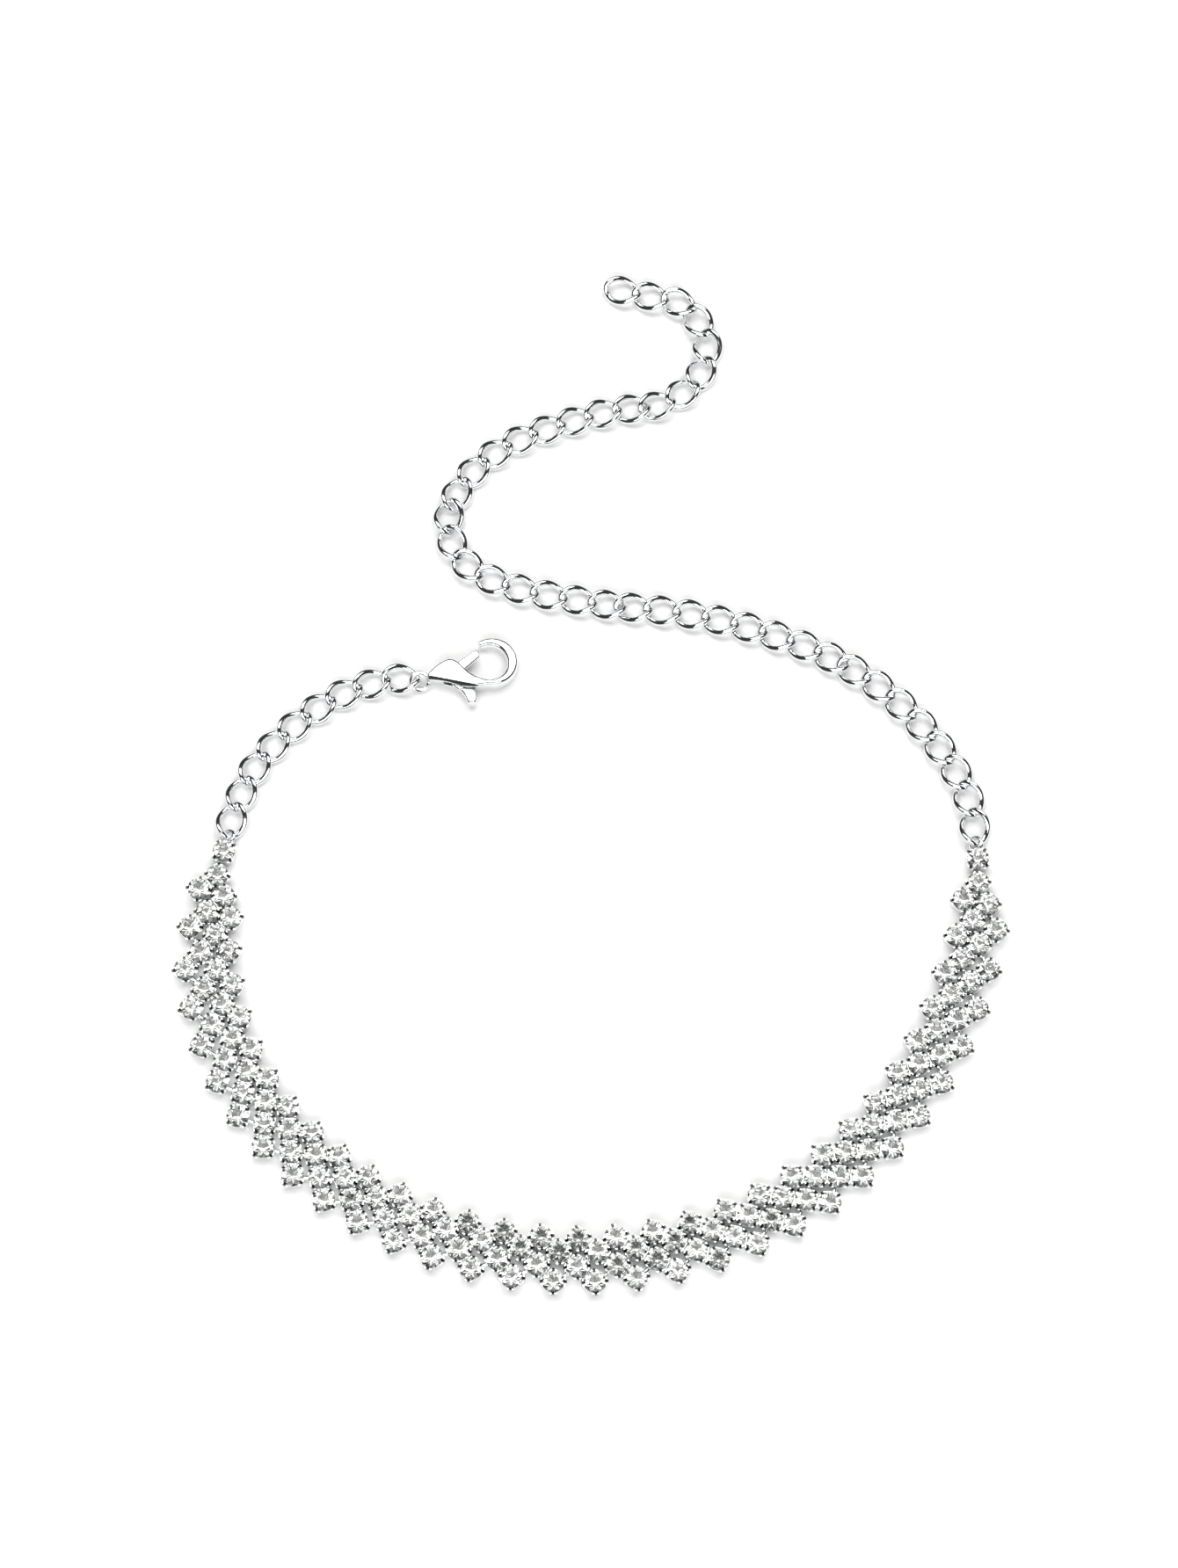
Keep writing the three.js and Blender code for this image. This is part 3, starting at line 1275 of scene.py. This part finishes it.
@dataclass
class LobsterClasp:
    """A cast lobster clasp, drawn with x from its eye to its hook and y towards its gate.

    Attributes:
        eye: The station of its eye.
        turn: Its own angle on the table.
        thickness: The casing's thickness.
        casing_edge: The radius of the casing's rounded edges.
        eye_radius: The radius of the eye's centre line.
        eye_wire: The thickness of the eye's ring.
        eye_drop: How far the eye is below the casing's middle.
        eye_tilt: How far the eye leans.
        eye_steps: Sections round the eye.
        eye_sides: Sides of its ring.
        hook_centre: The middle of the hook's outer circle.
        hook_radius: The radius of that circle.
        mouth_centre: The middle of the mouth's circle.
        mouth_radius: The radius of that circle.
        hook_thickness: The hook's thickness at its tip.
        hook_corner: The power that squares the hook's section: 1 is round, and 0 is square.
        hook_taper: The angles between which the hook thins.
        hook_root: The angle that the hook starts at, inside the casing.
        hook_tip: The angle that it ends at.
        hook_sides: Sides of the hook's section.
        hook_steps: Sections along the hook.
        sweep: Radius that the hook's plain section is swept at, before it is shaped.
        slot: The lever's slot: where it starts and ends along x, and its height.
        pivot: The middle of the rivet.
        rivet: The rivet's radius.
        pin_sides: Sides of the rivet, its hole and the lever's hub.
        rivet_inset: How far the rivet's ends are below the casing's faces.
        rivet_edge: The radius of its rounded ends.
        clearance: The gap round the rivet.
        skin: The metal left over each end of the rivet's hole.
        lever_thickness: The gate's thickness.
        gate_edge: The radius of the gate's rounded edges.
        thumb_thickness: The thumb's thickness.
        thumb_edge: The radius of its rounded edges.
        hub: The radius of the lever's hub.
        facet: The ends of the casing's filed edge.
        facet_lean: The slope of the facet filed there.
        cutter: The size of the blocks that cut the slot and the facet.
        grain: The size of the casting's finest detail.
        casing_softening: Passes of softening on the casing.
        lever_softening: Passes of softening on the lever.
        casing: The casing's outline.
        gate: The lever's outline inside the casing, and the gate's.
        thumb: The outline of the lever's thumb.
    """

    eye: Station
    turn: float = math.radians(10)
    thickness: float = 2.2
    casing_edge: float = 0.32
    eye_radius: float = 1.02
    eye_wire: float = 0.5
    eye_drop: float = 0.3
    eye_tilt: float = math.radians(21)
    eye_steps: int = 40
    eye_sides: int = 14
    hook_centre: Point = (8.5, 0.6)
    hook_radius: float = 2.96
    mouth_centre: Point = (8.11, 0.55)
    mouth_radius: float = 2.08
    hook_thickness: float = 1.5
    hook_corner: float = 0.62
    hook_taper: tuple[float, float] = (math.radians(-100), math.radians(-15))
    hook_root: float = math.radians(-140)
    hook_tip: float = math.radians(116)
    hook_sides: int = 40
    hook_steps: int = 60
    sweep: float = 10.0
    slot: tuple[float, float, float] = (2.65, 6.0, 1.1)
    pivot: Point = (4.0, 0.2)
    rivet: float = 0.36
    pin_sides: int = 32
    rivet_inset: float = 0.3
    rivet_edge: float = 0.1
    clearance: float = 0.06
    skin: float = 0.2
    lever_thickness: float = 0.8
    gate_edge: float = 0.15
    thumb_thickness: float = 1.5
    thumb_edge: float = 0.22
    hub: float = 0.85
    facet: tuple[Point, Point] = ((1.33, 0.06), (5.99, -1.74))
    facet_lean: float = math.radians(46)
    cutter: float = 8.0
    grain: float = 0.05
    casing_softening: int = 8
    lever_softening: int = 6
    casing: Outline = Outline(
        (0.95, -0.3),
        (
            ((2.8, -0.75), (4.4, -1.65)),
            ((5.6, -2.2), (7.6, -2.2)),
            (None, (7.6, -1.47)),
            ((6.0, -0.9), (5.1, 0.55)),
            ((4.5, 1.7), (3.6, 1.75)),
            ((2.2, 1.5), (0.95, 0.35)),
            (None, (0.95, -0.3)),
        ),
    )
    gate: Outline = Outline(
        (3.4, -0.4),
        (
            ((3.5, -1.4), (4.2, -2.0)),
            ((4.8, -2.6), (4.9, -3.4)),
            (None, (6.0, -3.3)),
            ((6.15, -2.3), (5.5, -1.6)),
            ((4.9, -0.9), (4.9, 0.1)),
            (None, (7.15, 1.5)),
            ((7.35, 2.0), (7.05, 2.35)),
            (None, (6.7, 2.4)),
            (None, (3.9, 1.0)),
            (None, (3.4, -0.4)),
        ),
    )
    thumb: Outline = Outline(
        (4.2, -1.98),
        (
            ((4.72, -2.6), (4.86, -3.4)),
            ((4.92, -4.0), (5.45, -4.0)),
            ((6.05, -4.0), (6.1, -3.2)),
            ((6.12, -2.6), (5.8, -2.3)),
            ((5.2, -2.2), (4.75, -2.0)),
            (None, (4.2, -1.98)),
        ),
    )

    def place(self) -> Matrix:
        """Give the clasp's place on the table."""
        turn = Matrix.Rotation(self.turn, 4, "Z")
        return Matrix.Translation((self.eye.x, self.eye.y, self.thickness / 2)) @ turn

    def hook_height(self, angle: float) -> float:
        """Give half the hook's thickness at an angle: it thins away from the casing.

        Args:
            angle: The angle round the hook's centre.

        Returns:
            Half the thickness.
        """
        start, end = self.hook_taper
        share = min(max((angle - start) / (end - start), 0.0), 1.0)
        thinned = (self.thickness - self.hook_thickness) * share**2 * (3 - 2 * share)
        return (self.thickness - thinned) / 2

    def hook(self) -> bpy.types.Mesh:
        """Sweep the hook: a softened square section, widest opposite the mouth's own centre.

        Returns:
            Its mesh.
        """
        bm = bmesh.new()
        section = Matrix.Translation((self.sweep, 0, 0)) @ Matrix.Rotation(math.pi / 2, 4, "X")
        bmesh.ops.create_circle(
            bm, cap_ends=True, segments=self.hook_sides, radius=1.0, matrix=section
        )
        bmesh.ops.rotate(
            bm, verts=bm.verts, cent=(0, 0, 0), matrix=Matrix.Rotation(self.hook_root, 3, "Z")
        )
        bmesh.ops.spin(
            bm,
            geom=bm.verts[:] + bm.edges[:] + bm.faces[:],
            cent=(0, 0, 0),
            axis=(0, 0, 1),
            angle=self.hook_tip - self.hook_root,
            steps=self.hook_steps,
        )
        centre = Vector((*self.hook_centre, 0))
        shift = Vector((*self.mouth_centre, 0)) - centre
        for vert in bm.verts:
            out = Vector((vert.co.x, vert.co.y, 0))
            way = out.normalized()
            side = out.length - self.sweep
            along = shift.dot(way)
            inner = along + math.sqrt(along**2 - shift.length_squared + self.mouth_radius**2)
            middle = (inner + self.hook_radius) / 2
            half = (self.hook_radius - inner) / 2
            side = math.copysign(abs(side) ** self.hook_corner, side)
            rise = math.copysign(abs(vert.co.z) ** self.hook_corner, vert.co.z)
            height = rise * self.hook_height(math.atan2(way.y, way.x))
            vert.co = centre + way * (middle + side * half)
            vert.co.z = height
        bmesh.ops.recalc_face_normals(bm, faces=bm.faces)
        return mesh_of(bm, "hook")

    def eye_ring(self) -> bpy.types.Mesh:
        """Make the eye that the chain's last link hangs in.

        Returns:
            Its mesh.
        """
        bm = wire_ring(self.eye_radius, self.eye_wire / 2, self.eye_steps, self.eye_sides)
        tilt = Matrix.Rotation(self.eye_tilt, 4, "X")
        bm.transform(Matrix.Translation((0, 0, -self.eye_drop)) @ tilt)
        return mesh_of(bm, "eye")

    def pin(self, radius: float, length: float) -> bmesh.types.BMesh:
        """Make a pin, or a disc, on the lever's axis.

        Args:
            radius: The pin's radius.
            length: Its length.

        Returns:
            The pin.
        """
        return rod(radius, length, self.pin_sides, Matrix.Translation((*self.pivot, 0)))

    def cast(
        self, solids: list[bpy.types.Mesh], cutters: list[bpy.types.Mesh], smooth: int
    ) -> bpy.types.Mesh:
        """Cast some shapes as one piece, cut others out of it, and soften it as tumbling does.

        Args:
            solids: The shapes that are joined.
            cutters: The shapes that are taken away.
            smooth: Passes of softening.

        Returns:
            The cast mesh.
        """
        joined = bmesh.new()
        for solid in solids:
            joined.from_mesh(solid)
        bmesh.ops.remove_doubles(joined, verts=joined.verts, dist=WELD)
        holder = bpy.data.objects.new("casting", mesh_of(joined, "casting"))
        bpy.context.scene.collection.objects.link(holder)
        fuse = holder.modifiers.new("fuse", "REMESH")
        fuse.mode = "VOXEL"
        fuse.voxel_size = self.grain
        tools = []
        for cutter in cutters:
            tool = bpy.data.objects.new("tool", cutter)
            bpy.context.scene.collection.objects.link(tool)
            tools.append(tool)
            cut = holder.modifiers.new("cut", "BOOLEAN")
            cut.operation = "DIFFERENCE"
            cut.solver = "EXACT"
            cut.object = tool
        again = holder.modifiers.new("again", "REMESH")
        again.mode = "VOXEL"
        again.voxel_size = self.grain
        bpy.context.view_layer.update()
        shown = holder.evaluated_get(bpy.context.evaluated_depsgraph_get())
        bm = bmesh.new()
        bm.from_mesh(shown.to_mesh())
        for old in [*tools, holder]:
            bpy.data.objects.remove(old)
        for _ in range(smooth):
            bmesh.ops.smooth_vert(
                bm, verts=bm.verts, factor=0.5, use_axis_x=True, use_axis_y=True, use_axis_z=True
            )
        for face in bm.faces:
            face.smooth = True
        bm.transform(self.place())
        return mesh_of(bm, "cast")

    def slot_block(self) -> bpy.types.Mesh:
        """Make the block that the lever's slot is cut with.

        Returns:
            Its mesh.
        """
        left, right, height = self.slot
        place = Matrix.Translation(((left + right) / 2, 0, 0))
        return block((right - left, self.cutter, height), place, "slot")

    def facet_block(self) -> bpy.types.Mesh:
        """Make the block that files the long facet along the casing's top edge.

        Returns:
            Its mesh.
        """
        a, b = (Vector((*p, self.thickness / 2)) for p in self.facet)
        way = b - a
        place = (
            Matrix.Translation((a + b) / 2)
            @ Matrix.Rotation(math.atan2(way.y, way.x), 4, "Z")
            @ Matrix.Rotation(self.facet_lean, 4, "X")
            @ Matrix.Translation((0, 0, self.cutter / 2))
        )
        return block((self.cutter, self.cutter, self.cutter), place, "facet")

    def rounded_rivet(self) -> bpy.types.Mesh:
        """Make the rivet, with its ends rounded.

        Returns:
            Its mesh, in the part's frame.
        """
        bm = self.pin(self.rivet, self.thickness - 2 * self.rivet_inset)
        ends = [e for e in bm.edges if abs(e.verts[0].co.z - e.verts[1].co.z) < WELD]
        bmesh.ops.bevel(
            bm,
            geom=ends,
            offset=self.rivet_edge,
            segments=3,
            profile=0.5,
            affect="EDGES",
            material=-1,
        )
        shade_by_angle(bm, ROUND_EDGE)
        bm.transform(self.place())
        return mesh_of(bm, "clasp_pin")

    def build(self) -> None:
        """Build the clasp's casting, lever and rivet."""
        hole = self.rivet + self.clearance
        body = self.cast(
            [self.casing.plate(self.thickness, self.casing_edge), self.hook(), self.eye_ring()],
            [
                self.slot_block(),
                self.facet_block(),
                mesh_of(self.pin(hole, self.thickness - 2 * self.skin), "hole"),
            ],
            self.casing_softening,
        )
        show(body, "clasp_casting", [SILVER], Body.BRACELET, ["clasp_body"])
        lever = self.cast(
            [
                self.gate.plate(self.lever_thickness, self.gate_edge),
                mesh_of(self.pin(self.hub, self.lever_thickness), "hub"),
                self.thumb.plate(self.thumb_thickness, self.thumb_edge),
            ],
            [mesh_of(self.pin(hole, 2 * self.thickness), "hole")],
            self.lever_softening,
        )
        show(lever, "clasp_gate_lever", [SILVER], Body.LEVER, ["clasp_lever"])
        rivet = self.rounded_rivet()
        show(rivet, "clasp_pin", [RIVET_STEEL], Body.BRACELET, ["clasp_rivet"])


# ---- The whole bracelet --------------------------------------------------------------------------


@dataclass
class Bracelet:
    """The whole bracelet, laid open.

    Attributes:
        layout: Where the plan lies in the part's frame.
        clasp_links: How many links the clasp's chain has.
        extension_links: How many links the extension chain has.
        extension_nodes: How many CAD nodes those are.
        eye_from_link: The clasp's eye's distance from the last link before it.
        clasp_route: Points of the plan that the clasp's chain runs through.
        extension_route: Points of the plan that the extension chain runs through.
    """

    layout: Layout = field(default_factory=Layout)
    clasp_links: int = 9
    extension_links: int = 40
    extension_nodes: int = 5
    eye_from_link: float = 2.2
    clasp_route: tuple[Point, ...] = (
        (-40.2, -3.7),
        (-37.8, 1.9),
        (-33.2, 7.0),
        (-28.1, 10.5),
        (-22.6, 12.3),
        (-18.6, 12.0),
    )
    extension_route: tuple[Point, ...] = (
        (43.1, -2.3),
        (39.8, 4.2),
        (34.2, 10.5),
        (27.1, 15.2),
        (19.2, 18.3),
        (11.0, 20.3),
        (1.2, 21.5),
        (-8.7, 23.5),
        (-14.3, 26.5),
        (-16.3, 31.6),
        (-13.9, 37.3),
        (-8.1, 41.8),
        (1.7, 45.2),
        (8.3, 46.3),
        (12.5, 49.3),
        (13.8, 54.1),
        (11.3, 58.7),
        (6.6, 60.1),
        (2.6, 61.0),
    )

    def line(self, start: Station, points: tuple[Point, ...]) -> ChainLine:
        """Lay a chain's line.

        Args:
            start: The end cup's station.
            points: The points of the plan that it runs through.

        Returns:
            The line, in the part's frame.
        """
        return ChainLine(Vector((start.x, start.y, 0)), [self.layout.placed(p) for p in points])

    def build(self) -> None:
        """Build every piece."""
        band = CrystalBand()
        clasp_line = self.line(band.line.station(0.0), self.clasp_route)
        extension_line = self.line(band.line.station(band.line.length), self.extension_route)
        clasp_chain = CurbChain(
            "clasp_curb_chain",
            clasp_line,
            self.clasp_links,
            ["clasp_chain"],
            run=self.clasp_links,
        )
        extension = CurbChain(
            "extension_curb_chain",
            extension_line,
            self.extension_links,
            [f"extension_chain_{i + 1}" for i in range(self.extension_nodes)],
        )
        ends = [clasp_line.station(0.0), extension_line.station(0.0)]
        band.build(ends, clasp_chain.link.height())
        clasp_chain.build()
        extension.build()
        last = clasp_chain.to_first + (self.clasp_links - 1) * clasp_chain.pitch
        LobsterClasp(clasp_line.station(last + self.eye_from_link)).build()


# ---- Studio --------------------------------------------------------------------------------------


@dataclass(frozen=True)
class Softbox:
    """A soft rectangular light that faces the bracelet.

    Attributes:
        name: The light's name.
        place: Its place, in metres.
        size: Its width and height, in metres.
        brightness: How bright its face is.
    """

    name: str
    place: tuple[float, float, float]
    size: tuple[float, float]
    brightness: float

    def build(self) -> None:
        """Hang the light. Its power makes its face equally bright whatever its size."""
        lamp = bpy.data.lights.new(self.name, "AREA")
        lamp.shape = "RECTANGLE"
        lamp.size, lamp.size_y = self.size
        lamp.energy = self.brightness * self.size[0] * self.size[1] * math.pi
        holder = bpy.data.objects.new(self.name, lamp)
        holder.location = self.place
        holder.rotation_euler = (-Vector(self.place)).to_track_quat("-Z", "Y").to_euler()
        bpy.context.scene.collection.objects.link(holder)


@dataclass(frozen=True)
class Studio:
    """White paper under soft lights, and a camera high in front.

    Attributes:
        layout: Where the plan lies in the part's frame.
        floor_size: The paper's width, in metres.
        floor_gap: How far the paper is below the bracelet.
        elevation: The camera's height, as an angle.
        distance: Its distance from the plan's own origin, which it looks at.
        lens: Its focal length.
        nearest: The nearest thing it can see, in metres.
        dusk: The colour of the room round the lights.
        softboxes: The lights.
    """

    layout: Layout = Layout()
    floor_size: float = 4.0
    floor_gap: float = 0.02
    elevation: float = math.radians(72)
    distance: float = 520.33
    lens: float = 105.0
    nearest: float = 0.01
    dusk: str = "353635"
    softboxes: tuple[Softbox, ...] = (
        Softbox("overhead_softbox", (0.0, 0.5, 1.17), (1.8, 0.86), 3.6),
        Softbox("front_softbox", (0.0, -1.0, 1.0), (1.8, 0.74), 3.6),
    )

    def lay_floor(self) -> None:
        """Lay the paper a hair under the bracelet."""
        bm = bmesh.new()
        bmesh.ops.create_grid(bm, x_segments=1, y_segments=1, size=self.floor_size / 2)
        bmesh.ops.translate(bm, verts=bm.verts, vec=(0, 0, -self.floor_gap * MM))
        mesh = mesh_of(bm, "paper")
        mesh.materials.append(PAPER.material())
        floor = bpy.data.objects.new("paper", mesh)
        bpy.context.scene.collection.objects.link(floor)

    def dim_world(self) -> None:
        """Make the room round the lights dim, so that the metal has something dark to mirror."""
        world = bpy.data.worlds.new("studio")
        world.use_nodes = True
        background = world.node_tree.nodes["Background"]
        background.inputs["Color"].default_value = linear(self.dusk)
        bpy.context.scene.world = world

    def set_camera(self) -> None:
        """Set the camera at its height, looking at the plan's own origin."""
        camera = bpy.data.cameras.new("camera")
        camera.lens = self.lens
        camera.clip_start = self.nearest
        holder = bpy.data.objects.new("camera", camera)
        back = Vector((0, -math.cos(self.elevation), math.sin(self.elevation)))
        aim = self.layout.placed((0.0, 0.0))
        holder.location = (aim + back * self.distance) * MM
        holder.rotation_euler = (math.pi / 2 - self.elevation, 0, 0)
        bpy.context.scene.collection.objects.link(holder)
        bpy.context.scene.camera = holder

    def build(self) -> None:
        """Build the floor, lights and camera."""
        self.lay_floor()
        self.dim_world()
        for softbox in self.softboxes:
            softbox.build()
        self.set_camera()
        bpy.context.scene.view_settings.view_transform = "Standard"


def main() -> None:
    """Build the bracelet and its studio, logging each piece's count of faces."""
    logging.basicConfig(level=logging.INFO, format="%(name)s: %(message)s")
    Bracelet().build()
    Studio().build()


if __name__ == "__main__":
    main()
